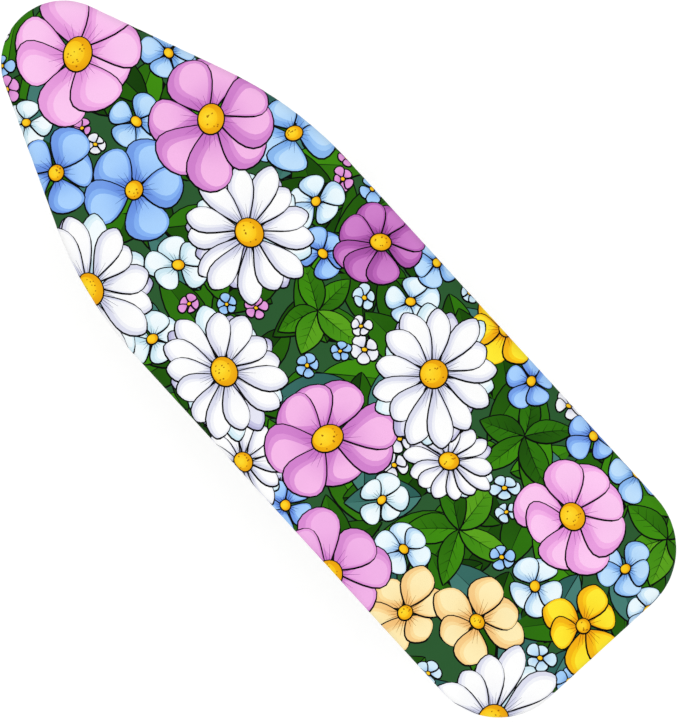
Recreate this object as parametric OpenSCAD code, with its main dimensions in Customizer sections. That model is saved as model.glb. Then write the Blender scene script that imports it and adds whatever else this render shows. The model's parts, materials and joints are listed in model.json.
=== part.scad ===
// Household ironing board, standing open on crossed tube legs.
// X runs from the rounded nose (-X) to the square tail (+X), Y across, Z up from the floor.

/* [Board top] */
// Length over the cover
board_l = 1200; // [1100:10:1300]
// Width over the cover
board_w = 404; // [380:2:430]
// Height of the cover above the floor, legs open
board_h = 900; // [860:5:920]
// Radius of the nose
nose_r = 88; // [70:1:110]
// Angle of each tapered side to the board's axis
taper_angle = 22.4; // [18:0.2:26]
// Radius of the shoulder between taper and straight side
shoulder_r = 555; // [400:5:600]
// Radius of the two tail corners
tail_r = 104; // [70:1:130]

/* [Cover and pad] */
// Thickness of the cover cloth with its wadding
cover_t = 1.5; // [1:0.1:2.5]
// Thickness of the felt pad
pad_t = 7; // [4:0.5:10]
// Width of the hem turned in under the rim
hem_w = 30; // [20:1:40]
// Thickness of the elastic in the hem
elastic_t = 3; // [2:0.5:4]

/* [Steel frame] */
// Thickness of the expanded steel panel
panel_t = 1.2; // [1:0.1:2]
// Height of the rim channel
rim_h = 16; // [14:0.5:18]
// Width of the rim channel's flanges
rim_w = 16; // [12:0.5:18]
// Wall of the tubes and of the rim channel
wall_t = 1.2; // [1:0.1:2]
// Thickness of pressed sheet steel
sheet_t = 1.5; // [1.2:0.1:2]
// Width of each cross rib
rib_w = 36; // [34:1:40]
// Height of each cross rib
rib_h = 14; // [12:0.5:16]
// Outer width of the guide rail
rail_w = 60; // [54:1:66]

/* [Legs] */
// Leg length from the upper pivot to the foot bar
leg_l = 950; // [930:5:980]
// Distance along a leg from its upper pivot to the crossing
cross_l = 410; // [390:5:430]
// Radius of the leg tubes
leg_r = 10; // [9:0.5:11]
// Distance of the front leg tubes from the centre line
front_y = 100; // [98:1:104]
// Distance of the rear leg tubes from the centre line
rear_y = 70; // [68:1:72]
// Distance of the front leg hinge from the middle of the board
hinge_x = 330; // [320:5:340]
// Radius of the foot bars
foot_bar_r = 11; // [10:0.5:11.5]
// Radius of the plastic feet
foot_r = 13; // [12.5:0.1:13]
// Width over each pair of feet
foot_w = 400; // [360:5:404]

/* [Pins] */
// Radius of the hinge and crossing pins
pin_r = 4; // [3:0.5:5]
// Radius of the slide bar
slide_r = 6; // [5:0.5:6.5]
// Radius of the rollers on the slide bar
roller_r = 9; // [8:0.5:9.5]
// Radial clearance of a running fit
run_fit = 0.05; // [0.02:0.01:0.1]

/* [Hidden] */

$fn = 64;
steel_colour = "whitesmoke";
metal_colour = "silver";
plastic_colour = "dimgray";

// Outline of the board: three arcs a side, joined by straight tangents
half_w = board_w / 2;
nose_c = [-board_l / 2 + nose_r, 0];
shoulder_y = half_w - shoulder_r;
shoulder_x = nose_c.x + (shoulder_y * cos(taper_angle) - nose_r + shoulder_r) / sin(taper_angle);
shoulder_c = [shoulder_x, shoulder_y];
tail_c = [board_l / 2 - tail_r, half_w - tail_r];

// Levels, from the cloth down
pad_z = board_h - cover_t - pad_t;
panel_z = pad_z - panel_t;
rim_z = panel_z - rim_h;
lip_z = rim_z - cover_t;
rib_z = panel_z - rib_h;
frame_inset = cover_t + rim_w;
pivot_z = lip_z - leg_r - 5;

// Legs: both have the same length and cross at the same distance from their upper pivots
foot_flat = 0.5;
foot_z = foot_r - foot_flat;
leg_angle = asin((pivot_z - foot_z) / leg_l);
slide_x = hinge_x - 2 * cross_l * cos(leg_angle);
slide_folded_x = hinge_x - 2 * cross_l;
cross_x = hinge_x - cross_l * cos(leg_angle);
cross_z = pivot_z - cross_l * sin(leg_angle);
front_foot_x = hinge_x - leg_l * cos(leg_angle);
rear_foot_x = slide_x + leg_l * cos(leg_angle);
leg_top = 12;
plug_t = 2;
foot_l = 24;
brace_s = 870;
brace_r = 7;
plug_depth = 3;
foot_end = 3;
foot_chamfer = 3;
side_gap = 0.3;
spacer_r = 8;
slide_end = 2;
roller_l = 4;
flange_t = 3;
flange_h = 3;

// Guide rail and its height notches
rail_nose_x = slide_folded_x - 30;
rail_tail_x = 76;
rail_drop = 15;
rail_top_z = rib_z - sheet_t;
slot_gap = 0.5;
notch_rise = 3;
notch_pitch = 44;
notches = 5;
rib_xs = [-350, 20, hinge_x];

// Hinge brackets
clevis_gap = 1.5;
bracket_t = 2;
bracket_l = 44;
ear_r = 12;
head_t = 2.5;
head_r = 7;

// Release lever
lever_x = 45;
lever_z = pivot_z - 15;
lever_w = 24;
lever_t = 3;
lever_pin_r = 3;
finger_x = slide_x - 16;
finger_z = pivot_z - slide_r - 0.5 - lever_t;
handle_x = 172;
grip_x = 118;
grip_l = 72;
grip_w = 30;
grip_h = 13;
boss_r = 6;
ear_l = 23;
ear_drop = 9;
spring_x = 64;
spring_r = 5;
spring_wire_r = 0.7;
spring_turns = 6;
spring_steps = 12;
spring_sides = 6;
spring_gap = 0.1;

// Rivets and vents
rivet_r = 2.5;
rivet_head_r = 4.5;
rivet_head_t = 1.5;
rivet_out = 11;
rail_rivets = [for (x = [rib_xs[0], rib_xs[1]]) for (y = [-rivet_out, rivet_out]) [x, y]];
bracket_rivets = [for (x = [-rivet_out, rivet_out]) [hinge_x + x, front_y]];
rivet_places = concat(rail_rivets, bracket_rivets, [for (p = bracket_rivets) [p.x, -p.y]]);
vent_pitch_x = 72;
vent_pitch_y = 40;
vent_l = 56;
vent_w = 28;
vent_rows = 9;
vent_cols = 9;
vent_margin = 30;

function arc(c, r, a0, a1, n) = [
    for (i = [0:n]) let (a = a0 + (a1 - a0) * i / n) c + r * [cos(a), sin(a)]
];

// One side of the outline, from the nose tip to the middle of the tail, moved inwards by d
function side_points(d) = concat(
    arc(nose_c, nose_r - d, 180, 90 + taper_angle, 16),
    arc(shoulder_c, shoulder_r - d, 90 + taper_angle, 90, 8),
    arc(tail_c, tail_r - d, 90, 0, 14));

function other_side(points) = [for (i = [len(points) - 1:-1:1]) [points[i].x, -points[i].y]];

module outline(d = 0) {
    points = side_points(d);
    polygon(concat(points, other_side(points)));
}

module slab(d, z, h) {
    translate([0, 0, z])
        linear_extrude(h)
            outline(d);
}

module band(d_out, d_in, z, h) {
    translate([0, 0, z])
        linear_extrude(h)
            difference() {
                outline(d_out);
                outline(d_in);
            }
}

// Cylinder along Y, centred on y
module y_rod(x, z, r, y, l) {
    translate([x, y, z])
        rotate([90, 0, 0])
            cylinder(r = r, h = l, center = true);
}

module y_tube(x, z, r, y, l) {
    difference() {
        y_rod(x, z, r, y, l);
        y_rod(x, z, r - wall_t, y, l + 2);
    }
}

// A leg's own frame: Z runs down the leg from its upper pivot
module front_leg(y) {
    translate([hinge_x, y, pivot_z])
        rotate([0, 270 - leg_angle, 0])
            children();
}

module rear_leg(y) {
    translate([slide_x, y, pivot_z])
        rotate([0, 90 + leg_angle, 0])
            children();
}

// Sheet-steel channel lying across the board, open towards the panel
module rib(x) {
    color(steel_colour)
        intersection() {
            translate([x, 0, rib_z])
                difference() {
                    translate([-rib_w / 2, -half_w, 0])
                        cube([rib_w, board_w, rib_h]);
                    translate([-rib_w / 2 + sheet_t, -half_w - 1, sheet_t])
                        cube([rib_w - 2 * sheet_t, board_w + 2, rib_h]);
                    rib_holes(x);
                }
            slab(frame_inset, rib_z - 1, rib_h + 2);
        }
}

module rib_holes(x) {
    for (p = rivet_places)
        if (p.x > x - rib_w / 2 && p.x < x + rib_w / 2)
            translate([p.x - x, p.y, -1])
                cylinder(r = rivet_r, h = sheet_t + 2);
}

module cover() {
    color("lightpink") {
        slab(0, board_h - cover_t, cover_t);
        band(0, cover_t, lip_z, board_h - cover_t - lip_z);
        band(cover_t, hem_w, lip_z, cover_t);
    }
}

module pad() {
    color("ivory")
        slab(cover_t, pad_z, pad_t);
}

module hem_elastic() {
    color("white")
        band(hem_w, hem_w + elastic_t, lip_z, elastic_t);
}

module top_panel() {
    color(steel_colour)
        translate([0, 0, panel_z])
            linear_extrude(panel_t)
                difference() {
                    outline(cover_t);
                    intersection() {
                        vents();
                        outline(vent_margin);
                    }
                }
}

// Staggered rows of diamond vents
module vents() {
    for (row = [-vent_rows:vent_rows])
        for (i = [-vent_cols:vent_cols])
            translate([(i + (row % 2 == 0 ? 0 : 0.5)) * vent_pitch_x, row * vent_pitch_y / 2])
                polygon([[-vent_l / 2, 0], [0, -vent_w / 2], [vent_l / 2, 0], [0, vent_w / 2]]);
}

// Channel bent round the edge, open towards the middle of the board
module edge_rim() {
    color(steel_colour)
        difference() {
            band(cover_t, frame_inset, rim_z, rim_h);
            band(cover_t + wall_t, frame_inset + 1, rim_z + wall_t, rim_h - 2 * wall_t);
        }
}

module rib_nose() { rib(rib_xs[0]); }
module rib_middle() { rib(rib_xs[1]); }
module rib_tail() { rib(rib_xs[2]); }

// Inverted channel with a long slot in each web; the slide bar's rollers run in the slots
module guide_rail() {
    color(steel_colour)
        difference() {
            union() {
                translate([rail_nose_x, -rail_w / 2, rail_top_z])
                    cube([rail_tail_x - rail_nose_x, rail_w, sheet_t]);
                for (y = [-rail_w / 2, rail_w / 2 - sheet_t])
                    translate([0, y, 0]) {
                        translate([rail_nose_x, 0, pivot_z - rail_drop])
                            cube([rail_tail_x - rail_nose_x, sheet_t, rail_top_z - pivot_z + rail_drop]);
                        translate([lever_x - ear_l, 0, lever_z - ear_drop])
                            cube([rail_tail_x - lever_x + ear_l, sheet_t, rail_top_z - lever_z + ear_drop]);
                    }
            }
            for (y = [-rail_w / 2 + sheet_t / 2, rail_w / 2 - sheet_t / 2])
                slot_cut(y);
            y_rod(lever_x, lever_z, lever_pin_r, 0, rail_w + 2);
            for (p = rail_rivets)
                translate([p.x, p.y, rail_top_z - 1])
                    cylinder(r = rivet_r, h = sheet_t + 2);
        }
}

module slot_cut(y) {
    slot_r = roller_r + slot_gap;
    cut = 2 * sheet_t;
    translate([slide_folded_x, y - cut / 2, pivot_z - slot_r])
        cube([slide_x - slide_folded_x, cut, 2 * slot_r]);
    y_rod(slide_folded_x, pivot_z, slot_r, y, cut);
    y_rod(slide_x, pivot_z, slot_r, y, cut);
    for (i = [0:notches - 1])
        y_rod(slide_x - i * notch_pitch, pivot_z + notch_rise, slot_r, y, cut);
}

// Clevis pressed from sheet, hanging from the tail rib
module hinge_bracket(side) {
    inner = front_y - leg_r - clevis_gap - bracket_t;
    outer = front_y + leg_r + clevis_gap;
    plate_w = outer + bracket_t - inner;
    color(metal_colour)
        difference() {
            union() {
                translate([hinge_x - bracket_l / 2, side * front_y - plate_w / 2, rail_top_z])
                    cube([bracket_l, plate_w, sheet_t]);
                for (y = [inner + bracket_t / 2, outer + bracket_t / 2]) {
                    y_rod(hinge_x, pivot_z, ear_r, side * y, bracket_t);
                    translate([hinge_x - ear_r, side * y - bracket_t / 2, pivot_z])
                        cube([2 * ear_r, bracket_t, rail_top_z - pivot_z]);
                }
            }
            y_rod(hinge_x, pivot_z, pin_r, side * front_y, front_y);
            for (p = bracket_rivets)
                translate([p.x, side * p.y, rail_top_z - 1])
                    cylinder(r = rivet_r, h = sheet_t + 2);
        }
}

module hinge_bracket_left() { hinge_bracket(-1); }
module hinge_bracket_right() { hinge_bracket(1); }

// Shouldered pin along Y between inner and outer, with a head at each end
module headed_pin(x, z, inner, outer, side) {
    y_rod(x, z, pin_r, side * (inner + outer) / 2, outer - inner);
    y_rod(x, z, head_r, side * (inner - head_t / 2), head_t);
    y_rod(x, z, head_r, side * (outer + head_t / 2), head_t);
}

module hinge_pins() {
    reach = leg_r + clevis_gap + bracket_t;
    color(metal_colour)
        for (side = [-1, 1])
            headed_pin(hinge_x, pivot_z, front_y - reach, front_y + reach, side);
}

// Rivets that hold the guide rail and the brackets to the ribs
module frame_rivets() {
    color(metal_colour)
        for (p = rivet_places)
            translate([p.x, p.y, 0]) {
                translate([0, 0, rail_top_z - rivet_head_t])
                    cylinder(r = rivet_head_r, h = rivet_head_t);
                translate([0, 0, rail_top_z])
                    cylinder(r = rivet_r, h = 2 * sheet_t);
                translate([0, 0, rail_top_z + 2 * sheet_t])
                    cylinder(r = rivet_head_r, h = rivet_head_t);
            }
}

// Leg tube in its own frame: coped onto the foot bar, cross-drilled at the pivot and the crossing
module leg_tube(top_hole_r, cross_hole_r) {
    difference() {
        translate([0, 0, plug_t - leg_top])
            cylinder(r = leg_r, h = leg_l + leg_top - plug_t);
        translate([0, 0, -leg_top])
            cylinder(r = leg_r - wall_t, h = leg_l + 2 * leg_top);
        y_rod(0, leg_l, foot_bar_r, 0, 4 * leg_r);
        y_rod(0, 0, top_hole_r, 0, 4 * leg_r);
        y_rod(0, cross_l, cross_hole_r, 0, 4 * leg_r);
    }
}

// Cross tube between a pair of legs, coped to both
module leg_brace(y) {
    difference() {
        y_tube(0, brace_s, brace_r, 0, 2 * y);
        for (side = [-1, 1])
            translate([0, side * y, brace_s - 2 * leg_r])
                cylinder(r = leg_r, h = 4 * leg_r);
    }
}

module leg_plug() {
    translate([0, 0, -leg_top])
        cylinder(r1 = leg_r - 1, r2 = leg_r, h = plug_t / 2);
    translate([0, 0, plug_t / 2 - leg_top])
        cylinder(r = leg_r, h = plug_t / 2);
    translate([0, 0, plug_t - leg_top])
        cylinder(r = leg_r - wall_t, h = plug_depth);
}

module foot_bar(x) {
    color(steel_colour)
        y_tube(x, foot_z, foot_bar_r, 0, foot_w - 2 * foot_end);
}

// Plastic foot with a blind socket for the bar and a flat underneath
module foot(x, side) {
    color(plastic_colour)
        difference() {
            union() {
                y_rod(x, foot_z, foot_r, side * (foot_w / 2 - foot_chamfer - (foot_l - foot_chamfer) / 2),
                    foot_l - foot_chamfer);
                translate([x, side * (foot_w / 2 - foot_chamfer), foot_z])
                    rotate([-side * 90, 0, 0])
                        cylinder(r1 = foot_r, r2 = foot_r - foot_chamfer, h = foot_chamfer);
            }
            y_rod(x, foot_z, foot_bar_r, side * (foot_w / 2 - foot_end - foot_l / 2), foot_l);
            translate([x - foot_r, side * foot_w / 2 - foot_l * 2, -foot_r])
                cube([2 * foot_r, 4 * foot_l, foot_r]);
        }
}

module front_leg_left() { color(steel_colour) front_leg(-front_y) leg_tube(pin_r + run_fit, pin_r); }
module front_leg_right() { color(steel_colour) front_leg(front_y) leg_tube(pin_r + run_fit, pin_r); }
module front_leg_brace() { color(steel_colour) front_leg(0) leg_brace(front_y); }
module front_foot_bar() { foot_bar(front_foot_x); }
module front_foot_left() { foot(front_foot_x, -1); }
module front_foot_right() { foot(front_foot_x, 1); }

module front_leg_plugs() {
    color(plastic_colour)
        for (side = [-1, 1])
            front_leg(side * front_y)
                leg_plug();
}

// Pins through both pairs of legs where they cross
module cross_pins() {
    color(metal_colour)
        for (side = [-1, 1])
            headed_pin(cross_x, cross_z, rear_y - leg_r - side_gap, front_y + leg_r, side);
}

// Bushes that keep the front and rear legs apart at the crossing
module cross_spacers() {
    inner = rear_y + leg_r + side_gap;
    outer = front_y - leg_r;
    color(plastic_colour)
        for (side = [-1, 1])
            difference() {
                y_rod(cross_x, cross_z, spacer_r, side * (inner + outer) / 2, outer - inner);
                y_rod(cross_x, cross_z, pin_r, side * front_y, front_y);
            }
}

module rear_leg_left() { color(steel_colour) rear_leg(-rear_y) leg_tube(slide_r, pin_r + run_fit); }
module rear_leg_right() { color(steel_colour) rear_leg(rear_y) leg_tube(slide_r, pin_r + run_fit); }
module rear_leg_brace() { color(steel_colour) rear_leg(0) leg_brace(rear_y); }
module rear_foot_bar() { foot_bar(rear_foot_x); }
module rear_foot_left() { foot(rear_foot_x, -1); }
module rear_foot_right() { foot(rear_foot_x, 1); }

module rear_leg_plugs() {
    color(plastic_colour)
        for (side = [-1, 1])
            rear_leg(side * rear_y)
                leg_plug();
}

module slide_bar() {
    color(metal_colour)
        y_rod(slide_x, pivot_z, slide_r, 0, 2 * (rear_y + leg_r + slide_end));
}

// Flanged plastic rollers on the slide bar, one in each slot of the guide rail
module slide_rollers() {
    web_y = (rail_w - sheet_t) / 2;
    color(plastic_colour)
        for (side = [-1, 1])
            difference() {
                union() {
                    y_rod(slide_x, pivot_z, roller_r, side * web_y, roller_l);
                    for (end = [-1, 1])
                        y_rod(slide_x, pivot_z, roller_r + flange_h,
                            side * web_y + end * (roller_l + flange_t) / 2, flange_t);
                }
                y_rod(slide_x, pivot_z, slide_r, side * web_y, 3 * roller_l);
            }
}

// Sprung catch that holds the slide bar up in a notch
module release_lever() {
    color(metal_colour)
        difference() {
            union() {
                translate([finger_x, -lever_w / 2, finger_z])
                    cube([lever_x - finger_x, lever_w, lever_t]);
                y_rod(lever_x, lever_z, boss_r, 0, rail_w - 2 * sheet_t - 2 * slot_gap);
                translate([lever_x, -lever_w / 2, lever_z - lever_t])
                    cube([handle_x - lever_x, lever_w, lever_t]);
            }
            y_rod(lever_x, lever_z, lever_pin_r + run_fit, 0, rail_w);
        }
}

// Soft grip pushed over the end of the release lever
module lever_grip() {
    color(plastic_colour)
        difference() {
            union() {
                translate([grip_x, 0, lever_z - lever_t / 2])
                    rotate([90, 0, 90])
                        linear_extrude(grip_l - grip_w / 2)
                            grip_profile();
                translate([grip_x + grip_l - grip_w / 2, 0, lever_z - lever_t / 2])
                    cylinder(r = grip_w / 2, h = grip_h, center = true);
            }
            translate([grip_x - 1, -lever_w / 2, lever_z - lever_t])
                cube([handle_x - grip_x + 1, lever_w, lever_t]);
        }
}

module grip_profile() {
    square([grip_w, grip_h], center = true);
}

module lever_pin() {
    color(metal_colour) {
        y_rod(lever_x, lever_z, lever_pin_r, 0, rail_w);
        for (side = [-1, 1])
            y_rod(lever_x, lever_z, lever_pin_r + 2, side * (rail_w + head_t) / 2, head_t);
    }
}

// Helical spring between the lever and the top of the guide rail
spring_z0 = lever_z + spring_gap;
spring_rise = rail_top_z - lever_z - 2 * spring_gap - 2 * spring_wire_r;

module lever_spring() {
    rings = spring_turns * spring_steps;
    points = [
        for (i = [0:rings])
            for (k = [0:spring_sides - 1])
                let (
                    a = i * 360 / spring_steps,
                    b = k * 360 / spring_sides,
                    r = spring_r + spring_wire_r * cos(b)
                )
                    [r * cos(a), r * sin(a), spring_wire_r * sin(b) + spring_rise * i / rings]
    ];
    sides = [
        for (i = [0:rings - 1])
            for (k = [0:spring_sides - 1])
                let (
                    a = i * spring_sides + k,
                    b = i * spring_sides + (k + 1) % spring_sides
                )
                    [a, b, b + spring_sides, a + spring_sides]
    ];
    first_end = [for (k = [spring_sides - 1:-1:0]) k];
    last_end = [for (k = [0:spring_sides - 1]) rings * spring_sides + k];
    color(metal_colour)
        translate([spring_x, 0, spring_z0 + spring_wire_r])
            polyhedron(points, concat([first_end], sides, [last_end]));
}

cover();
pad();
hem_elastic();
top_panel();
edge_rim();
rib_nose();
rib_middle();
rib_tail();
guide_rail();
hinge_bracket_left();
hinge_bracket_right();
hinge_pins();
frame_rivets();
front_leg_left();
front_leg_right();
front_leg_brace();
front_foot_bar();
front_foot_left();
front_foot_right();
front_leg_plugs();
cross_pins();
cross_spacers();
rear_leg_left();
rear_leg_right();
rear_leg_brace();
rear_foot_bar();
rear_foot_left();
rear_foot_right();
rear_leg_plugs();
slide_bar();
slide_rollers();
release_lever();
lever_grip();
lever_pin();
lever_spring();
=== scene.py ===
"""Ironing board: cloth cover with a flower print, felt pad, expanded steel panel and folding tube legs."""
import json
import math
import random

import bmesh
import bpy
import numpy as np
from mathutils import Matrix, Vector, geometry


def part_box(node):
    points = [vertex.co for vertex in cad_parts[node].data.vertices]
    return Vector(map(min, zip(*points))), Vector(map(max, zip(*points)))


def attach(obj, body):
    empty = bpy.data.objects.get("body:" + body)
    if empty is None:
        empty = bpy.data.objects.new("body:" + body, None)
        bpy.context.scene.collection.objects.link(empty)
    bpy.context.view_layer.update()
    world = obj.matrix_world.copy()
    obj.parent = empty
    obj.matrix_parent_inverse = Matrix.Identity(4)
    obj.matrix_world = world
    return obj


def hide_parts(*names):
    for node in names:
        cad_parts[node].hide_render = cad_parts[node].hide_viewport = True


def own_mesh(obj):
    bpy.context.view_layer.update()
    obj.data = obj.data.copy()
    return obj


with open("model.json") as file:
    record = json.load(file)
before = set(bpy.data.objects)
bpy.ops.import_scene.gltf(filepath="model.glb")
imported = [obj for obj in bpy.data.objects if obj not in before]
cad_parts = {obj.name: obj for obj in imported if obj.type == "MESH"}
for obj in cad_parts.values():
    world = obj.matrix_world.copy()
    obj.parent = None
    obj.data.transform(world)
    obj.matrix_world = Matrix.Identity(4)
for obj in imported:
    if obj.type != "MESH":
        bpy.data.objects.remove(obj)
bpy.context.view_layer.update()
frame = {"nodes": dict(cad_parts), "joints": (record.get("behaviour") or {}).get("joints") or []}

MM = 0.001


# -------- the board's outline

def corners(node):
    low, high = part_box(node)
    return Vector(low), Vector(high)


COVER_LO, COVER_HI = corners("cover")
HALF_L = (COVER_HI.x - COVER_LO.x) / 2 / MM
HALF_W = (COVER_HI.y - COVER_LO.y) / 2 / MM
TOP_Z = COVER_HI.z
LIP_Z = COVER_LO.z
NOSE_R = 88.0
TAPER = math.radians(22.4)
SHOULDER_R = 555.0
TAIL_R = 104.0
NOSE_C = np.array([-HALF_L + NOSE_R, 0.0])
SHOULDER_Y = HALF_W - SHOULDER_R
SHOULDER_X = NOSE_C[0] + (SHOULDER_Y * math.cos(TAPER) - NOSE_R + SHOULDER_R) / math.sin(TAPER)
SHOULDER_C = np.array([SHOULDER_X, SHOULDER_Y])
TAIL_C = np.array([HALF_L - TAIL_R, HALF_W - TAIL_R])
TAPER_DIR = np.array([math.cos(TAPER), math.sin(TAPER)])
TAPER_OUT = np.array([-math.sin(TAPER), math.cos(TAPER)])
TAPER_L = float((SHOULDER_C - NOSE_C) @ TAPER_DIR)


def inset_of(points):
    """Distance inside the outline, the outward normal, and the place along the edge, for points in mm."""
    x = points[:, 0]
    y = np.abs(points[:, 1])
    p = np.stack([x, y], axis=1)
    side = np.where(points[:, 1] < 0, -1.0, 1.0)
    best = np.full(len(p), 1e9)
    normal = np.zeros_like(p)
    along = np.zeros(len(p))
    nose_l = NOSE_R * (math.pi / 2 - TAPER)
    taper_end = nose_l + TAPER_L
    shoulder_end = taper_end + SHOULDER_R * TAPER
    straight_end = shoulder_end + TAIL_C[0] - SHOULDER_C[0]
    tail_end = straight_end + TAIL_R * math.pi / 2

    def take(valid, inset, n, t):
        use = valid & (inset < best)
        best[use] = inset[use]
        normal[use] = np.broadcast_to(n, p.shape)[use]
        along[use] = t[use]

    def arc(centre, radius, low, high, start):
        v = p - centre
        r = np.hypot(v[:, 0], v[:, 1]) + 1e-9
        angle = np.arctan2(v[:, 1], v[:, 0])
        take((angle >= low) & (angle <= high), radius - r, v / r[:, None], start + radius * (high - angle))

    arc(NOSE_C, NOSE_R, math.pi / 2 + TAPER, math.pi + 1e-6, 0.0)
    arc(SHOULDER_C, SHOULDER_R, math.pi / 2, math.pi / 2 + TAPER, taper_end)
    arc(TAIL_C, TAIL_R, 0.0, math.pi / 2, straight_end)
    run = (p - NOSE_C) @ TAPER_DIR
    take((run >= 0) & (run <= TAPER_L), NOSE_R - (p - NOSE_C) @ TAPER_OUT, TAPER_OUT, nose_l + run)
    take((x >= SHOULDER_C[0]) & (x <= TAIL_C[0]), HALF_W - y, (0.0, 1.0), shoulder_end + x - SHOULDER_C[0])
    take((y <= TAIL_C[1]) & (x > 0), HALF_L - x, (1.0, 0.0), tail_end + TAIL_C[1] - y)
    normal[:, 1] *= side
    return best, normal, along * side


def edge_curve(inset, step):
    """Points along the outline moved inwards by inset, in mm, spaced about step apart."""
    def arc(centre, radius, high, low):
        r = radius - inset
        n = max(2, int(abs(high - low) * r / step))
        return [centre + r * np.array([math.cos(a), math.sin(a)]) for a in np.linspace(high, low, n, False)]

    def line(a, b):
        n = max(1, int(np.linalg.norm(b - a) / step))
        return [a + (b - a) * t for t in np.linspace(0, 1, n, False)]

    half = arc(NOSE_C, NOSE_R, math.pi, math.pi / 2 + TAPER)
    half += line(NOSE_C + (NOSE_R - inset) * TAPER_OUT, SHOULDER_C + (SHOULDER_R - inset) * TAPER_OUT)
    half += arc(SHOULDER_C, SHOULDER_R, math.pi / 2 + TAPER, math.pi / 2)
    half += line(np.array([SHOULDER_C[0], HALF_W - inset]), np.array([TAIL_C[0], HALF_W - inset]))
    half += arc(TAIL_C, TAIL_R, math.pi / 2, 0.0)
    half += line(np.array([HALF_L - inset, TAIL_C[1]]), np.array([HALF_L - inset, 0.0]))
    half.append(np.array([HALF_L - inset, 0.0]))
    other = [q * np.array([1, -1]) for q in half[-2:0:-1]]
    return np.array(half + other)


def area_of(outline):
    """Area inside a closed outline, negative where it runs clockwise."""
    x, y = outline[:, 0], outline[:, 1]
    return 0.5 * np.sum(x * np.roll(y, -1) - np.roll(x, -1) * y)


def heading(loop):
    """The step from the point before each point of a closed loop to the one after it."""
    return np.roll(loop, -1, axis=0) - np.roll(loop, 1, axis=0)


def unit(rows):
    """The rows made one long."""
    return rows / np.linalg.norm(rows, axis=1)[:, None]


# -------- drawing the print, in mm on the flat cloth

def rgb(code):
    """A hex colour as linear red, green and blue."""
    parts = [int(code[i:i + 2], 16) / 255 for i in (0, 2, 4)]
    return np.array([v / 12.92 if v <= 0.04045 else ((v + 0.055) / 1.055) ** 2.4 for v in parts])


INK = rgb("050505")
shapes = []
dice = random.Random(7)
between = dice.uniform


def smooth(t):
    """0 below 0, 1 above 1, and a soft step between."""
    t = np.clip(t, 0, 1)
    return t * t * (3 - 2 * t)


def mix(a, b, t):
    return a[None, :] * (1 - t[:, None]) + b[None, :] * t[:, None]


def flat(colour):
    return lambda p: np.tile(colour, (len(p), 1))


def along_axis(c0, c1, origin, direction, length):
    return lambda p: mix(c0, c1, smooth(((p - origin) @ direction) / length))


def radial(c0, c1, centre, radius):
    return lambda p: mix(c0, c1, smooth(np.hypot(*(p - centre).T) / radius))


def add(outline, paint):
    """Draws one closed shape over all the earlier ones; paint gives the colour at any points."""
    shapes.append((np.asarray(outline, dtype=float), paint))


def left_of(steps):
    """The direction to the left of each step."""
    n = np.stack([-steps[:, 1], steps[:, 0]], axis=1)
    return n / (np.hypot(n[:, 0], n[:, 1])[:, None] + 1e-9)


def grown(outline, amount):
    """The closed outline moved outwards by about amount, more on some sides than others, as a pen line is."""
    n = left_of(heading(outline)) * (1 if area_of(outline) < 0 else -1)
    pressure = 1 + 0.25 * (n @ np.array([0.6, -0.8]))
    return outline + n * (amount * pressure)[:, None]


def inked(outline, paint, line=1.1):
    """A painted shape with a pen line round it."""
    add(grown(outline, line), flat(INK))
    add(grown(outline, -line), paint)


def stroke(points, wide, colour=INK, thin=0.25):
    """A pen stroke that tapers away towards its end."""
    points = np.asarray(points, dtype=float)
    half = left_of(np.gradient(points, axis=0)) * np.linspace(wide / 2, thin / 2, len(points))[:, None]
    add(np.concatenate([points + half, (points - half)[::-1]]), flat(colour))


def turned(local, origin, angle):
    """Points turned by angle about zero, then moved by origin."""
    c, s = math.cos(angle), math.sin(angle)
    return np.asarray(origin) + local @ np.array([[c, s], [-s, c]])


def blade(length, width, belly=0.62, blunt=0.7, start=0.0, bend=0.0, skew=0.0, wave=0.0, n=13):
    """Petal or leaf outline along +X from start to length; belly is where it is widest."""
    k = math.log(0.5) / math.log(belly)
    u = 0.5 - 0.5 * np.cos(np.linspace(0, math.pi, n))
    half = width / 2 * np.sin(math.pi * np.clip(u, 0, 1) ** k).clip(0) ** blunt
    x = start + (length - start) * u
    ripple = wave * np.sin(u * 9.0) * u
    top = np.stack([x, half * (1 + skew) + ripple + bend * u ** 2], axis=1)
    bottom = np.stack([x, -half * (1 - skew) + ripple * 0.6 + bend * u ** 2], axis=1)
    return np.concatenate([top, bottom[-2:0:-1]])


def ellipse(centre, rx, ry, tilt=0.0, n=22):
    a = np.linspace(0, 2 * math.pi, n, False)
    return turned(np.stack([rx * np.cos(a), ry * np.sin(a)], axis=1), centre, tilt)


# Palettes: shade, body and light colour of the petals, and the colour of the creases
PALETTES = {
    "pink": ("C56FC4", "E094D9", "F7B9EA", "8E3F92"),
    "rose": ("CC79C9", "E79DDE", "F2B2E8", "8E3F92"),
    "candy": ("DE8AD6", "F6B2EA", "FDC8F2", "9A4C9C"),
    "plum": ("9A479B", "BC66BA", "CF7FCB", "5E2560"),
    "white": ("C9CBE6", "F3F4FA", "FFFFFF", "6A6D80"),
    "lilac": ("A9A6D2", "C9C8E6", "E6E6F5", "55587E"),
    "mist": ("BFE0EE", "E0F3FA", "F4FCFF", "4C6472"),
    "sky": ("6FA3E6", "A3CEFA", "BFE0FD", "2F4F8C"),
    "ice": ("9CC4EE", "D3EDFB", "EDFAFF", "3F628C"),
    "blue": ("5F87DE", "86B4F6", "A9D2FF", "24407E"),
    "cream": ("F3BC72", "FDDF9E", "FFEDB6", "9C6A26"),
    "yellow": ("F2A40E", "FDD01A", "FFEA32", "A66A06"),
}
GREENS = {
    "lime": ("3E8A10", "5CA41C"),
    "leaf": ("2A6A08", "3F8E0C"),
    "moss": ("1C4F06", "2F760A"),
    "dark": ("123C04", "246006"),
    "teal": ("2C5F58", "477F76"),
}
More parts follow.
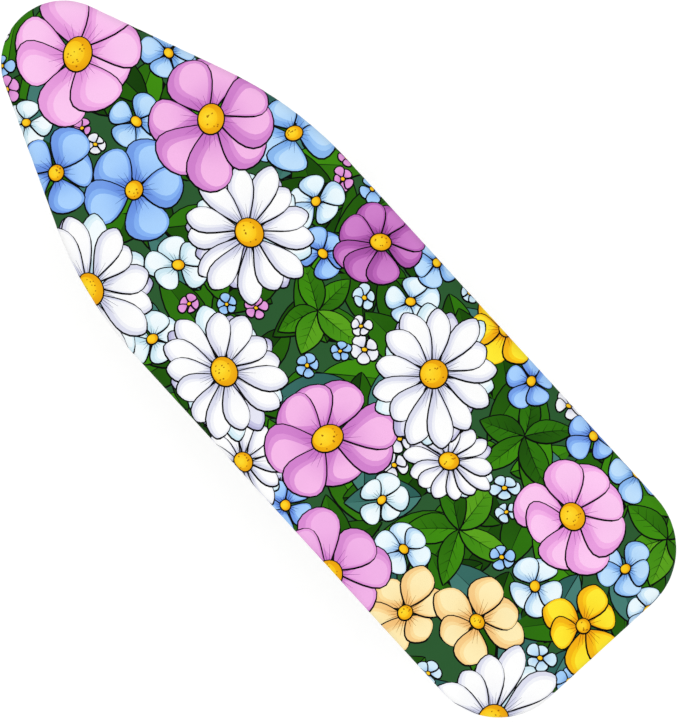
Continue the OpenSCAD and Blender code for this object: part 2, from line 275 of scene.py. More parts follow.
# Flower kinds: petals, petal width and eye size for a reach of 1, where a petal is widest, how blunt it is,
# how ragged its edge is in mm, and the palette of the row behind
KINDS = {
    "daisy": dict(petals=13, wide=0.36, eye=0.22, belly=0.66, blunt=0.60, wave=0.0, back="lilac"),
    "cosmos": dict(petals=8, wide=0.66, eye=0.23, belly=0.68, blunt=0.50, wave=1.1, back=None),
    "bell": dict(petals=6, wide=0.66, eye=0.17, belly=0.58, blunt=0.66, wave=0.6, back=None),
    "five": dict(petals=5, wide=0.84, eye=0.19, belly=0.64, blunt=0.52, wave=0.0, back=None),
}


DETAIL_REACH = 26.0  # smaller petals are drawn without inner fields and creases


def petal(origin, angle, reach, wide, palette, kind, start):
    """One petal: a pen outline, a shaded body, a lighter inner field and a few creases from its base."""
    shade, body, light, crease = [rgb(c) for c in PALETTES[palette]]
    form = dict(belly=kind["belly"] + between(-0.03, 0.03), blunt=kind["blunt"],
                skew=between(-0.10, 0.10), bend=between(-0.06, 0.06) * reach,
                wave=kind["wave"] * between(-1, 1), n=12 if reach > 30 else 8)
    outline = turned(blade(reach, wide, start=start, **form), origin, angle)
    direction = np.array([math.cos(angle), math.sin(angle)])
    across = np.array([-direction[1], direction[0]])
    base = np.asarray(origin) + direction * start
    span = reach - start
    lit_side = wide * (1 if math.sin(angle + 2.2) > 0 else -1)
    if reach < DETAIL_REACH:
        inked(outline, along_axis(shade, body, base, direction, span * 0.55))
        return
    dim = shade * 0.55 + body * 0.45
    inked(outline, along_axis(shade, dim, base, direction, span * 0.5))
    fields = ((0.96, 0.80, 0.09, (dim, body)), (0.91, 0.62, 0.12, (body, light)))
    for share, breadth, shift, colours in fields:
        inner = blade(start + span * share, wide * breadth, start=start + span * (1.1 - share), **form)
        add(turned(inner + np.array([0.0, lit_side * shift]), origin, angle),
            along_axis(*colours, base, direction, span * 0.7))
    for offset in np.linspace(-0.5, 0.5, 2 + (wide > 34)):
        tip = start + span * between(0.24, 0.44)
        u = np.linspace(0, 1, 4)[:, None]
        spread = offset * wide * 0.28 * (0.35 + 0.65 * u)
        line = base + direction * (tip - start) * (0.10 + 0.9 * u) + across * spread
        stroke(line, 1.1, crease)


def disc(centre, rx, ry, tilt):
    """Flower centre: an oval dome in yellow and amber, with specks."""
    amber, gold, lemon = rgb("EBA208"), rgb("FDC616"), rgb("FFE030")
    inked(ellipse(centre, rx, ry, tilt), radial(gold, amber, centre, max(rx, ry)), 1.0)
    glow = centre + np.array([-0.18 * rx, -0.12 * ry])
    add(ellipse(glow, rx * 0.68, ry * 0.70, tilt), radial(lemon, gold, glow, max(rx, ry) * 0.72))
    for _ in range(int(rx * 0.5) if rx > 10 else 0):
        a, r = between(0, 2 * math.pi), between(0.25, 0.75)
        spot = turned(np.array([[rx * r * math.cos(a), ry * r * math.sin(a)]]), centre, tilt)[0]
        add(ellipse(spot, between(0.7, 1.3), between(0.9, 1.7), 0, 7), flat(rgb("A86A08")))


def flower(centre, reach, kind_name, palette):
    """A flower seen a little from one side: petals in a ring, each drawn over the last, and an eye."""
    kind = KINDS[kind_name]
    centre = np.asarray(centre, dtype=float)
    lean = between(0, math.pi)
    flatness = between(0.74, 0.94)
    first = between(0, 2 * math.pi)
    count = kind["petals"]

    def petal_row(names, share, offset):
        for i in range(count):
            angle = first + 2 * math.pi * (i + offset + between(-0.22, 0.22)) / count
            foreshort = math.hypot(math.cos(angle - lean), flatness * math.sin(angle - lean))
            length = reach * share * foreshort * between(0.85, 1.07)
            wide = reach * kind["wide"] * between(0.9, 1.08)
            petal(centre, angle, length, wide, names[i % len(names)], kind, 0.10 * reach)

    if kind["back"]:
        petal_row([kind["back"], "mist"], 0.96, 0.5)
    petal_row([palette], 1.0, 0.0)
    eye = kind["eye"] * reach
    disc(centre, eye * between(0.92, 1.04), eye * between(0.78, 0.90), lean)


def leaf(base, angle, length, wide, green, bend=0.0, veins=4):
    """A leaf in two tones either side of a midrib, with side veins."""
    base = np.asarray(base, dtype=float)
    direction = np.array([math.cos(angle), math.sin(angle)])
    low, high = [rgb(c) for c in GREENS[green]]
    body = blade(length, wide, belly=0.45, blunt=0.85, bend=bend)
    inked(turned(body, base, angle), along_axis(low, low * 0.6 + high * 0.4, base, direction, length))
    half = len(body) // 2 + 1
    u = np.linspace(0, 1, 9)
    rib = np.stack([length * u, bend * u ** 2], axis=1)
    upper = turned(np.concatenate([body[:half], rib[::-1][1:-1]]), base, angle)
    add(grown(upper, -0.9), along_axis(high, high * 0.75 + low * 0.25, base, direction, length))
    stroke(turned(rib[:-1], base, angle), 1.5)
    for i in range(veins):
        s = (i + 1) / (veins + 1.5)
        foot = np.array([length * s, bend * s * s])
        for side in (1, -1):
            end = foot + np.array([length * 0.14, side * wide * 0.30 * math.sin(math.pi * s)])
            stroke(turned(np.linspace(foot, end, 3), base, angle), 0.9, low * 0.35)


def spray(centre, reach):
    """A tuft of big leaves that fan out from one point."""
    first = between(0, 2 * math.pi)
    for i in range(5):
        angle = first + i * 1.26 + between(-0.25, 0.25)
        length = reach * between(1.0, 1.5)
        wide = reach * between(0.50, 0.68)
        green = dice.choice(["lime", "leaf", "leaf", "moss"])
        leaf(centre, angle, length, wide, green, between(-14, 14))


GROUND_X, GROUND_Y = 720, 320  # half the size of the drawn ground, well past the edge of the cloth
GROUND_COLUMNS = range(-660, 680, 58)
GROUND_ROWS = range(-240, 250, 52)


def draw_ground():
    """Dim overlapping leaves behind everything, so that no bare ground shows between the flowers."""
    corner = np.array([[-1, -1], [1, -1], [1, 1], [-1, 1]])
    add(corner * [GROUND_X, GROUND_Y], flat(rgb("2B5A30")))
    for x in GROUND_COLUMNS:
        for y in GROUND_ROWS:
            base = (x + between(-24, 24), y + between(-24, 24))
            angle = between(0, 2 * math.pi)
            length = between(92, 128)
            wide = between(44, 60)
            green = dice.choice(["dark", "dark", "moss", "moss", "leaf", "teal"])
            leaf(base, angle, length, wide, green, between(-12, 12), 0)


# Bunches, from the largest flowers down: how many, reach in mm, how close their rings may come, kinds by turn
BUNCHES = [
    (10, (94, 110), 0.76, [("daisy", "white"), ("cosmos", "pink"), ("cosmos", "candy"), ("daisy", "white"),
                           ("cosmos", "rose"), ("daisy", "white")]),
    (4, (56, 68), 0.76, [("spray", "")]),
    (10, (64, 80), 0.71, [("bell", "yellow"), ("five", "blue"), ("daisy", "white"), ("bell", "cream"),
                          ("five", "sky"), ("cosmos", "plum")]),
    (18, (38, 52), 0.70, [("five", "sky"), ("five", "ice"), ("five", "mist"), ("five", "blue")]),
    (30, (16, 25), 0.80, [("five", "ice"), ("five", "sky"), ("five", "white"), ("five", "rose")]),
]


def scattered():
    """Places for the flowers: each bunch fills what room the bunches before it left."""
    taken = []
    far_x, far_y = HALF_L + 10, HALF_W + 10
    for number, (low, high), near, kinds in BUNCHES:
        placed = 0
        for _ in range(3000):
            spot = np.array([between(-far_x, far_x), between(-far_y, far_y)])
            reach = between(low, high)
            inset, _, _ = inset_of(spot[None, :])
            if inset[0] < -12 or any(np.hypot(*(spot - c)) < near * (reach + r) for c, r, _ in taken):
                continue
            taken.append((spot, reach, kinds[placed % len(kinds)]))
            placed += 1
            if placed == number:
                break
    return taken


def draw_print():
    """Fills the list of shapes, from the ground up; each shape hides what was drawn before it."""
    draw_ground()
    places = scattered()
    for centre, reach, (kind, palette) in reversed(places):
        if kind == "spray":
            spray(centre, reach)
    for centre, reach, (kind, palette) in reversed(places):
        if kind != "spray":
            flower(centre, reach, kind, palette)


# -------- cutting flat drawings into triangles

def triangulated(points, edges, track=False):
    """Triangles over 2-D points in mm that keep the given edges: vertices, faces and, with track, each
    vertex's source points."""
    places = [Vector((float(x), float(y))) for x, y in points]
    out = geometry.delaunay_2d_cdt(places, edges, [], 0, 1e-4, track)
    return np.array([tuple(v) for v in out[0]]), np.array(out[2]), out[3]


def cut(points, loops, seen=None):
    """Triangles over the plane that keep the loops' edges: vertices in mm and faces of vertex numbers.

    seen, where given, says for each loop which of its points matter: an edge with none is left out."""
    verts = []
    edges = []
    for k, loop in enumerate(loops):
        n = len(loop)
        keep = np.ones(n, dtype=bool) if seen is None or seen[k] is None else seen[k]
        keep = keep | np.roll(keep, 1) | np.roll(keep, -1)
        number = {}
        for i in np.nonzero(keep)[0]:
            number[i] = len(verts)
            verts.append(loop[i])
        edges.extend((number[i], number[(i + 1) % n]) for i in number if (i + 1) % n in number)
    verts.extend(points)
    return triangulated(verts, edges)[:2]


def border(faces):
    """The directed edges that only one face has."""
    edges = np.concatenate([faces[:, [0, 1]], faces[:, [1, 2]], faces[:, [2, 0]]]).tolist()
    known = set(map(tuple, edges))
    return [(a, b) for a, b in edges if (b, a) not in known]


def inside(points, outline):
    """Which points lie inside the closed outline."""
    x, y = points[:, 0], points[:, 1]
    hit = np.zeros(len(points), dtype=bool)
    ax, ay = outline[:, 0], outline[:, 1]
    bx, by = np.roll(ax, -1), np.roll(ay, -1)
    for x0, y0, x1, y1 in zip(ax, ay, bx, by):
        if y0 == y1:
            continue
        cross = (y0 > y) != (y1 > y)
        hit ^= cross & (x < (x1 - x0) * (y - y0) / (y1 - y0) + x0)
    return hit


def add_object(name, data):
    obj = bpy.data.objects.new(name, data)
    bpy.context.scene.collection.objects.link(obj)
    return obj


def mesh_object(name, verts, faces, materials, body):
    mesh = bpy.data.meshes.new(name)
    mesh.from_pydata([tuple(v) for v in verts], [], [tuple(int(i) for i in f) for f in faces])
    mesh.update()
    for m in materials:
        mesh.materials.append(m)
    obj = add_object(name, mesh)
    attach(obj, body)
    return obj


# -------- how the flat cloth wraps round the board

EDGE_X = 15.0  # how far in from the side the cloth starts to roll over
EDGE_Z = 12.0  # how far down the roll over the pad reaches
UNDER_R = 2.5  # roll round the bottom of the rim
HEM_RUN = 28.0  # cloth turned in underneath
CLOTH = 0.7  # thickness of the cloth
SIDE_H = (TOP_Z - LIP_Z) / MM - EDGE_Z - UNDER_R
ROLL_POINTS = 40  # points in each bend of the section


def wrap_profile():
    """The cloth's section from the flat top round the rim, out and down from where the roll starts.

    It is a table of distance along the cloth, out, down, and the two parts of its outward normal."""
    a = np.linspace(0, math.pi / 2, ROLL_POINTS)
    out = [EDGE_X * np.sin(a), EDGE_X - UNDER_R * (1 - np.cos(a)), [EDGE_X - UNDER_R - HEM_RUN]]
    down = [-EDGE_Z * (1 - np.cos(a)), -EDGE_Z - SIDE_H - UNDER_R * np.sin(a), [-EDGE_Z - SIDE_H - UNDER_R]]
    out, down = np.concatenate(out), np.concatenate(down)
    s = np.concatenate([[0], np.cumsum(np.hypot(np.diff(out), np.diff(down)))])
    d_out, d_down = np.gradient(out, s), np.gradient(down, s)
    size = np.hypot(d_out, d_down)
    return s, out, down, -d_down / size, d_out / size


PROFILE = wrap_profile()
WRAP_L = float(PROFILE[0][-1])
UNDER_S = WRAP_L - HEM_RUN - UNDER_R * math.pi / 2
REACH = WRAP_L - EDGE_X  # how far the flat cloth runs past the board's outline
RIM_W = 16.0  # the flange of the rim that the hem lies under
RIM_S = WRAP_L - HEM_RUN + RIM_W  # where the hem comes clear of that flange


def ripple(along, seed):
    """A steady uneven wave along the edge, from about -1 to 1."""
    rng = random.Random(seed)
    total = np.zeros_like(along)
    for wavelength, weight in ((23.0, 0.5), (14.5, 0.3), (37.0, 0.35), (61.0, 0.2)):
        total += weight * np.sin(2 * math.pi * along / wavelength + rng.uniform(0, 6.28)
                                 + 1.3 * np.sin(along / 47.0 + rng.uniform(0, 6.28)))
    return total / 1.2


def wrap(points, lift=0.0):
    """Places flat cloth points, in mm, on the board, in metres; lift is how far outside the cloth's face."""
    inset, normal, along = inset_of(points)
    s = np.clip(EDGE_X - inset, 0, None)
    out, down, face_out, face_up = [np.interp(s, PROFILE[0], column) for column in PROFILE[1:]]
    xy = points + normal * (out - s + lift * face_out)[:, None]
    # the top gives a little over the pad, and falls away slightly towards its edge
    x, y = points[:, 0], points[:, 1]
    soft = 0.16 * np.sin(x / 61 + 0.7) * np.sin(y / 43 + 1.9) + 0.10 * np.sin(x / 27 + y / 31)
    crown = -0.9 * smooth((EDGE_X + 34 - inset) / 34)
    # the turned-in hem is gathered, most where the edge curves
    bunch = smooth((s - RIM_S) / (WRAP_L - RIM_S))
    tight = 0.35 + 0.65 * smooth(np.abs(normal[:, 0]) / 0.3)
    gather = bunch * tight * (2.6 + 2.1 * ripple(along, 3) + 0.4 * np.sin(along / 1.9))
    gather -= smooth((s - UNDER_S - 2) / 9) * tight * 0.35 * (1 + ripple(along, 9))
    z = down + (soft + crown) * (1 - smooth(s / EDGE_X)) + gather
    side = smooth((s - EDGE_X) / 8) * (1 - smooth((s - UNDER_S + 2) / 6))
    xy = xy - normal * (side * (0.30 + 0.28 * ripple(along, 5)) * tight)[:, None]
    return np.column_stack([xy * MM, TOP_Z + (z + lift * face_up) * MM])


def topmost(points, first=None):
    """For each point, the number of the last shape drawn over it, or -1 where there is none.

    first, where given, is each point's own shape: only shapes drawn after that one count."""
    top = np.full(len(points), -1)
    order = np.argsort(points[:, 0])
    xs = points[order, 0]
    for i in range(len(shapes) - 1, -1, -1):
        outline = shapes[i][0]
        low, high = outline.min(axis=0), outline.max(axis=0)
        a, b = np.searchsorted(xs, [low[0], high[0]])
        near = order[a:b]
        near = near[top[near] < 0]
        if first is not None:
            near = near[first[near] < i]
        near = near[((points[near] > low) & (points[near] < high)).all(axis=1)]
        if len(near):
            top[near[inside(points[near], outline)]] = i
    return top


def seen_points():
    """For each drawn shape, which points of its outline show: not under a later shape nor off the cloth."""
    sizes = [len(outline) for outline, _ in shapes]
    owner = np.repeat(np.arange(len(shapes)), sizes)
    points = np.concatenate([outline for outline, _ in shapes])
    inset, _, _ = inset_of(points)
    seen = (inset > -REACH - 4) & (topmost(points, owner) < 0)
    return np.split(seen, np.cumsum(sizes)[:-1])


PLAIN_ROWS = [-22, -9]  # rows on the flat top, just inside the roll
RING_STEP = 5.2  # spacing of the cloth's vertices along its edge
FOLD_S = UNDER_S + UNDER_R * math.pi / 2
ROLL_ROWS = [*np.linspace(0, UNDER_S - SIDE_H, 7, False), *np.linspace(UNDER_S - SIDE_H, UNDER_S, 2, False),
             *np.linspace(UNDER_S, FOLD_S, 4, False)]
HEM_ROWS = [*np.linspace(FOLD_S, WRAP_L, 8, False)]
COLUMNS = edge_curve(EDGE_X - FOLD_S, RING_STEP)
COLUMN_WAY = inset_of(COLUMNS)[1]


def ring(s):
    """One closed row of points round the cloth, at distance s from where its roll starts."""
    return COLUMNS + COLUMN_WAY * (s - FOLD_S)


def ring_points(rows):
    return [point for s in rows for point in ring(s)]


def field_points(dx, dy):
    """Staggered rows of points over the board's whole rectangle."""
    return [(x + (row % 2) * dx / 2, y) for row, y in enumerate(np.arange(-HALF_W, HALF_W, dy))
            for x in np.arange(-HALF_L, HALF_L, dx)]


def trimmed(verts, faces, keep):
    """Only the faces to keep, and only the vertices that they use."""
    faces = faces[keep]
    used = np.unique(faces)
    number = np.zeros(len(verts), dtype=int)
    number[used] = np.arange(len(used))
    return verts[used], number[faces]


def on_cloth(verts, faces):
    """Which faces lie within the cloth's cut edge."""
    return inset_of(verts[faces].mean(axis=1))[0] > -REACH + 0.01


def printed_face():
    """The printed face of the cloth: cut along the print's lines and coloured corner by corner."""
    points = ring_points(PLAIN_ROWS + HEM_ROWS) + field_points(15.0, 13.0)
    rings = [ring(s) for s in [WRAP_L] + ROLL_ROWS]
    loops = rings + [outline for outline, _ in shapes]
    verts, faces = cut(points, loops, [None] * len(rings) + seen_points())
    verts, faces = trimmed(verts, faces, on_cloth(verts, faces))
    top = topmost(verts[faces].mean(axis=1))
    colour = np.ones((len(faces), 3, 4), dtype=np.float32)
    for i in np.unique(top):
        which = np.nonzero(top == i)[0]
        corner = verts[faces[which]].reshape(-1, 2)
        colour[which, :, :3] = shapes[i][1](corner).reshape(-1, 3, 3)
    return verts, faces, colour


def closed_faces(upper, lower, below):
    """A closed sheet's faces: the upper ones, the lower ones turned over, and a wall along the border.

    below gives the lower vertex under each upper vertex of the border."""
    walls = [(a, below(a), below(b), b) for a, b in border(upper)]
    return upper.tolist() + lower[:, ::-1].tolist() + walls


def make_cover():
    """The cloth: its printed face, a plain inner face, and the raw edge between them."""
    verts, faces, colour = printed_face()
    edges = border(faces)
    rim = sorted({a for a, _ in edges})
    rim_number = {v: i for i, v in enumerate(rim)}
    points = ring_points(PLAIN_ROWS + ROLL_ROWS + HEM_ROWS) + field_points(30.0, 26.0)
    rim_edges = [(rim_number[a], rim_number[b]) for a, b in edges]
    under, under_faces, behind = triangulated(list(verts[rim]) + points, rim_edges, True)
    origin = {source: i for i, sources in enumerate(behind) for source in sources}
    n = len(verts)
    placed = np.concatenate([wrap(verts), wrap(under, -CLOTH)])
    flat_place = np.concatenate([verts, under])
    everything = closed_faces(faces, under_faces[on_cloth(under, under_faces)] + n,
                              lambda v: origin[rim_number[v]] + n)
    obj = mesh_object("cotton_cover", placed, everything, [cotton_print(), cotton_lining()], "board")
    mesh = obj.data
    mesh.polygons.foreach_set("material_index", [0] * len(faces) + [1] * (len(everything) - len(faces)))
    mesh.polygons.foreach_set("use_smooth", [True] * len(everything))
    corner = np.zeros(len(mesh.loops), dtype=np.int32)
    mesh.loops.foreach_get("vertex_index", corner)
    uv = mesh.uv_layers.new(name="flat")
    uv.data.foreach_set("uv", (flat_place[corner] * MM).ravel().astype(np.float32))
    paint = mesh.color_attributes.new("print", "FLOAT_COLOR", "CORNER")
    colours = np.ones((len(mesh.loops), 4), dtype=np.float32)
    colours[:len(faces) * 3] = colour.reshape(-1, 4)
    paint.data.foreach_set("color", colours.ravel())
    clean(obj)
    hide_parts("cover")
    return obj


def clean(obj, distance=1e-7):
    """Drops loose vertices and joins those in the same place."""
    work = bmesh.new()
    work.from_mesh(obj.data)
    bmesh.ops.delete(work, geom=[v for v in work.verts if not v.link_faces], context="VERTS")
    bmesh.ops.remove_doubles(work, verts=work.verts, dist=distance)
    work.to_mesh(obj.data)
    work.free()


def solid_sheet(name, verts, faces, top, bottom, material, body):
    """A closed sheet from one flat cut: its faces at top and at bottom, and a wall round every edge."""
    n = len(verts)
    everything = closed_faces(faces, faces + n, lambda v: v + n)
    obj = mesh_object(name, np.concatenate([top, bottom]), everything, [material], body)
    clean(obj)
    return obj


# -------- materials

def lit(code, factor=1.0):
    return (*(rgb(code) * factor), 1.0)


class Finish:
    """A procedural material, with short ways to add nodes. Sizes are in metres on the piece itself."""

    def __init__(self, name, **shader):
        self.material = bpy.data.materials.new(name)
        self.material.use_nodes = True
        self.tree = self.material.node_tree
        self.shader = self.tree.nodes["Principled BSDF"]
        self.place = self.node("TexCoord").outputs["Object"]
        self.normal = None
        for key, value in shader.items():
            self.give(self.shader.inputs[key.replace("_", " ")], value)

    def give(self, socket, value):
        if isinstance(value, bpy.types.NodeSocket):
            self.tree.links.new(value, socket)
        else:
            socket.default_value = lit(value) if isinstance(value, str) else value

    def node(self, kind, inputs=None, **settings):
        node = self.tree.nodes.new("ShaderNode" + kind)
        for key, value in settings.items():
            setattr(node, key, value)
        for key, value in (inputs or {}).items():
            self.give(node.inputs[key], value)
        return node

    def noise(self, size, detail=2.0, stretch=None):
        place = self.place
        if stretch:
            place = self.node("Mapping", {"Vector": place, "Scale": stretch}).outputs[0]
        return self.node("TexNoise", {"Vector": place, "Scale": 1 / size, "Detail": detail}).outputs[0]

    def cells(self, size):
        return self.node("TexVoronoi", {"Vector": self.place, "Scale": 1 / size}).outputs["Distance"]

    def threads(self, pitch, axis):
        """Rounded ridges across one axis, one to each pitch."""
        inputs = {"Vector": self.place, "Scale": math.pi / 10 / pitch, "Distortion": 0.6, "Detail Scale": 0.4}
        return self.node("TexWave", inputs, bands_direction=axis).outputs["Fac"]

    def spread(self, value, low, high, to_low, to_high):
        return self.node("MapRange", {"Value": value, "From Min": low, "From Max": high,
                                      "To Min": to_low, "To Max": to_high}).outputs[0]

    def maths(self, operation, first, second):
        return self.node("Math", {0: first, 1: second}, operation=operation).outputs[0]

    def colours(self, factor, first, second, blend="MIX"):
        inputs = {0: factor, 6: first, 7: second}
        return self.node("Mix", inputs, data_type="RGBA", blend_type=blend).outputs[2]

    def colour(self, value):
        self.give(self.shader.inputs["Base Color"], value)

    def rough(self, value):
        self.give(self.shader.inputs["Roughness"], value)

    def patchy(self, size, low, high, detail=2.0):
        """Roughness between low and high, in patches of about the given size."""
        return self.spread(self.noise(size, detail), 0.3, 0.7, low, high)

    def bump(self, height, depth):
        node = self.node("Bump", {"Height": height, "Distance": depth})
        if self.normal:
            self.give(node.inputs["Normal"], self.normal)
        self.normal = node.outputs[0]
        self.give(self.shader.inputs["Normal"], self.normal)


def cotton_weave(finish, pitch=0.0007, depth=0.00005):
    """Warp and weft laid out on the flat cloth, so that they follow it round every bend."""
    finish.place = finish.node("UVMap", uv_map="flat").outputs[0]
    over = finish.maths("MAXIMUM", finish.threads(pitch, "X"), finish.threads(pitch, "Y"))
    finish.bump(over, depth)
    return over


def cotton_print():
    finish = Finish("cotton_print", Sheen_Weight=0.02, Sheen_Roughness=0.5, Specular_IOR_Level=0.05)
    over = cotton_weave(finish)
    ink = finish.node("Attribute", attribute_name="print").outputs["Color"]
    uneven = finish.colours(finish.noise(0.05, 3.0), "F6F6F6", "FFFFFF")
    dyed = finish.colours(1.0, ink, uneven, "MULTIPLY")
    # the weave's low gaps are painted a little darker than its thread crests: painted shade between the
    # threads
    finish.colour(finish.colours(1.0, dyed, finish.colours(over, "F0F0F0", "FFFFFF"), "MULTIPLY"))
    finish.rough(finish.patchy(0.02, 0.70, 0.84, 3.0))
    return finish.material


def cotton_lining():
    finish = Finish("cotton_lining", Sheen_Weight=0.10, Sheen_Roughness=0.5, Specular_IOR_Level=0.2)
    over = cotton_weave(finish)
    cloth = finish.colours(finish.noise(0.004, 4.0), "DEDACF", "F1EFE8")
    # the weave's low gaps are painted a little darker than its thread crests: painted shade between the
    # threads
    finish.colour(finish.colours(1.0, cloth, finish.colours(over, "E0E0E0", "FFFFFF"), "MULTIPLY"))
    finish.rough(finish.patchy(0.02, 0.80, 0.92, 3.0))
    return finish.material


def thread():
    finish = Finish("sewing_thread", Sheen_Weight=0.2, Specular_IOR_Level=0.3)
    finish.colour(finish.colours(finish.noise(0.0005, 3.0), "D9D5C8", "F6F4EC"))
    finish.rough(finish.patchy(0.002, 0.6, 0.8))
    return finish.material


def elastic_braid():
    finish = Finish("elastic_braid", Sheen_Weight=0.15, Specular_IOR_Level=0.3)
    braid = finish.cells(0.0011)
    # the braid is painted greyer towards the edges of its cells, where the bump sinks: painted shade in the
    # gaps between the strands
    finish.colour(finish.colours(braid, "F2F1EC", "BDBBB2"))
    finish.rough(finish.patchy(0.004, 0.65, 0.85))
    finish.bump(braid, -0.0003)
    return finish.material


def needled_felt():
    finish = Finish("needled_felt", Sheen_Weight=0.35, Sheen_Roughness=0.6, Specular_IOR_Level=0.1)
    fibres = finish.noise(0.0016, 7.0)
    base = finish.colours(fibres, "B9B4A6", "EFEBDF")
    flecks = finish.spread(finish.noise(0.0035, 5.0), 0.60, 0.72, 0.0, 0.55)
    finish.colour(finish.colours(flecks, base, "8C9299"))
    finish.rough(finish.patchy(0.01, 0.88, 0.98))
    finish.bump(fibres, 0.0006)
    return finish.material


def powder_coat(name, code, gloss):
    """Satin powder coat: an orange-peel skin, slight unevenness, and rubbed places that are duller."""
    finish = Finish(name, Coat_Weight=0.15, Coat_Roughness=0.3)
    tone = finish.colours(finish.noise(0.06, 3.0), lit(code, 0.93), lit(code, 1.03))
    rubbed = finish.spread(finish.noise(0.018, 6.0, (1.0, 1.0, 0.35)), 0.60, 0.70, 0.0, 1.0)
    finish.colour(finish.colours(finish.maths("MULTIPLY", rubbed, 0.30), tone, "B4B6B5"))
    finish.rough(finish.maths("ADD", finish.patchy(0.01, gloss - 0.05, gloss + 0.06),
                              finish.maths("MULTIPLY", rubbed, 0.14)))
    finish.bump(finish.noise(0.0016, 2.0), 0.00006)
    return finish.material


def plated(name, code, low=0.26, high=0.44):
    """Zinc plate: faint spangle, fine rolling lines and hazy patches."""
    finish = Finish(name, Metallic=1.0)
    spangle = finish.colours(finish.cells(0.005), lit(code, 0.90), lit(code, 1.05))
    haze = finish.noise(0.012, 5.0)
    finish.colour(finish.colours(finish.spread(haze, 0.50, 0.72, 0.0, 0.5), spangle, "9AA0A6"))
    finish.rough(finish.spread(haze, 0.3, 0.7, low, high))
    finish.bump(finish.noise(0.0008, 3.0, (0.06, 1.0, 1.0)), 0.00004)
    return finish.material


def moulded(name, code, rough, grain, depth):
    """Moulded plastic: a spark-eroded grain, with patches polished a little by handling."""
    finish = Finish(name, Specular_IOR_Level=0.45)
    finish.colour(finish.colours(finish.noise(0.02, 4.0), lit(code, 0.86), lit(code, 1.12)))
    finish.rough(finish.patchy(0.008, rough - 0.07, rough + 0.08, 4.0))
    finish.bump(finish.cells(grain), depth)
    return finish.material


SLOT_FINISH = {
    "top_steel": powder_coat("top_steel", "D8DAD9", 0.42),
    "leg_paint": powder_coat("leg_paint", "CDD1D3", 0.34),
    "zinc_steel": plated("zinc_steel", "C9CCD1"),
    "spring_wire": plated("spring_wire", "A9ACB2", 0.22, 0.36),
    "foot_plastic": moulded("foot_plastic", "383C40", 0.55, 0.0009, 0.00010),
    "bearing_plastic": moulded("bearing_plastic", "E8E7DF", 0.40, 0.0015, 0.00004),
    "grip_plastic": moulded("grip_plastic", "33373B", 0.62, 0.0013, 0.00018),
    "felt": needled_felt(),
    "elastic": elastic_braid(),
}


# -------- pieces of the board top

def make_pad():
    """The felt, lying just under the cloth and rolled over with it at its edge."""
    low, high = corners("pad")
    clear = CLOTH + 0.4
    bottom = (low.z - TOP_Z) / MM
    edge_s = float(np.interp(-bottom - clear - 0.8, -PROFILE[2][:ROLL_POINTS], PROFILE[0][:ROLL_POINTS]))
    rows = PLAIN_ROWS + list(np.linspace(0, edge_s, 6)[:-1])
    verts, faces = cut(ring_points(rows) + field_points(24.0, 22.0), [ring(edge_s)])
    verts, faces = trimmed(verts, faces, inset_of(verts[faces].mean(axis=1))[0] > EDGE_X - edge_s)
    inset, normal, _ = inset_of(verts)
    top = wrap(verts, -clear)
    tuck = smooth((EDGE_X - inset) / edge_s) * 1.2
    under = np.column_stack([(top[:, :2] / MM - normal * tuck[:, None]) * MM, np.full(len(verts), low.z)])
    obj = solid_sheet("felt_pad", verts, faces, top, under, SLOT_FINISH["felt"], "board")
    smooth_shade(obj)
    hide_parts("pad")
    return obj


MESH_X = 25.0  # length of one diamond of the expanded steel, strand to strand
MESH_Y = 11.0  # and its width
STRAND = 2.1  # width of a strand
MESH_BORDER = 17.5  # plain border that the rim channel grips


def make_panel():
    """Expanded steel: a sheet of diamonds in staggered rows, with a plain border under the rim."""
    low, high = corners("top_panel")
    reach = np.array([MESH_X / 2 - STRAND * 1.1, MESH_Y / 2 - STRAND / 2])
    rows = int(2 * HALF_W / MESH_Y) + 1
    columns = int(HALF_L / MESH_X) + 1
    centres = np.array([(MESH_X * (column + 0.5 * (row % 2)), MESH_Y / 2 * row)
                        for row in range(-rows, rows + 1) for column in range(-columns, columns + 1)])
    corner = np.array([[1, 0], [0, 1], [-1, 0], [0, -1]])
    room = np.min([inset_of(centres + c * reach)[0] for c in corner], axis=0)
    centres = centres[room > MESH_BORDER + 1.0]
    outline = edge_curve((high.x - COVER_HI.x) / -MM, 12.0)
    verts, faces = cut([], [outline] + [c + corner * reach for c in centres])
    middle = verts[faces].mean(axis=1)
    row = np.round(middle[:, 1] / (MESH_Y / 2))
    hole = np.zeros(len(faces), dtype=bool)
    known = {(round(x * 2), round(y * 2)) for x, y in centres}
    for step in (-1, 0, 1):
        cy = (row + step) * MESH_Y / 2
        shift = 0.5 * ((row + step) % 2)
        cx = (np.round(middle[:, 0] / MESH_X - shift) + shift) * MESH_X
        within = np.abs(middle[:, 0] - cx) / reach[0] + np.abs(middle[:, 1] - cy) / reach[1] < 1
        real = np.array([(round(x * 2), round(y * 2)) in known for x, y in zip(cx, cy)])
        hole |= within & real
    verts, faces = trimmed(verts, faces, ~hole)
    top = np.column_stack([verts * MM, np.full(len(verts), high.z)])
    under = np.column_stack([verts * MM, np.full(len(verts), low.z)])
    obj = solid_sheet("expanded_steel_panel", verts, faces, top, under, SLOT_FINISH["top_steel"], "board")
    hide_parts("top_panel")
    return obj


def smooth_shade(obj, sharp=35.0):
    """Smooth faces, split where they meet at more than the sharp angle."""
    mesh = obj.data
    mesh.polygons.foreach_set("use_smooth", [True] * len(mesh.polygons))
    mesh.set_sharp_from_angle(angle=math.radians(sharp))


def circle(sides, first, second):
    """Unit circles in the plane of two directions, one circle for each row of them."""
    angle = np.linspace(0, 2 * math.pi, sides, False)
    return first[:, None] * np.cos(angle)[None, :, None] + second[:, None] * np.sin(angle)[None, :, None]


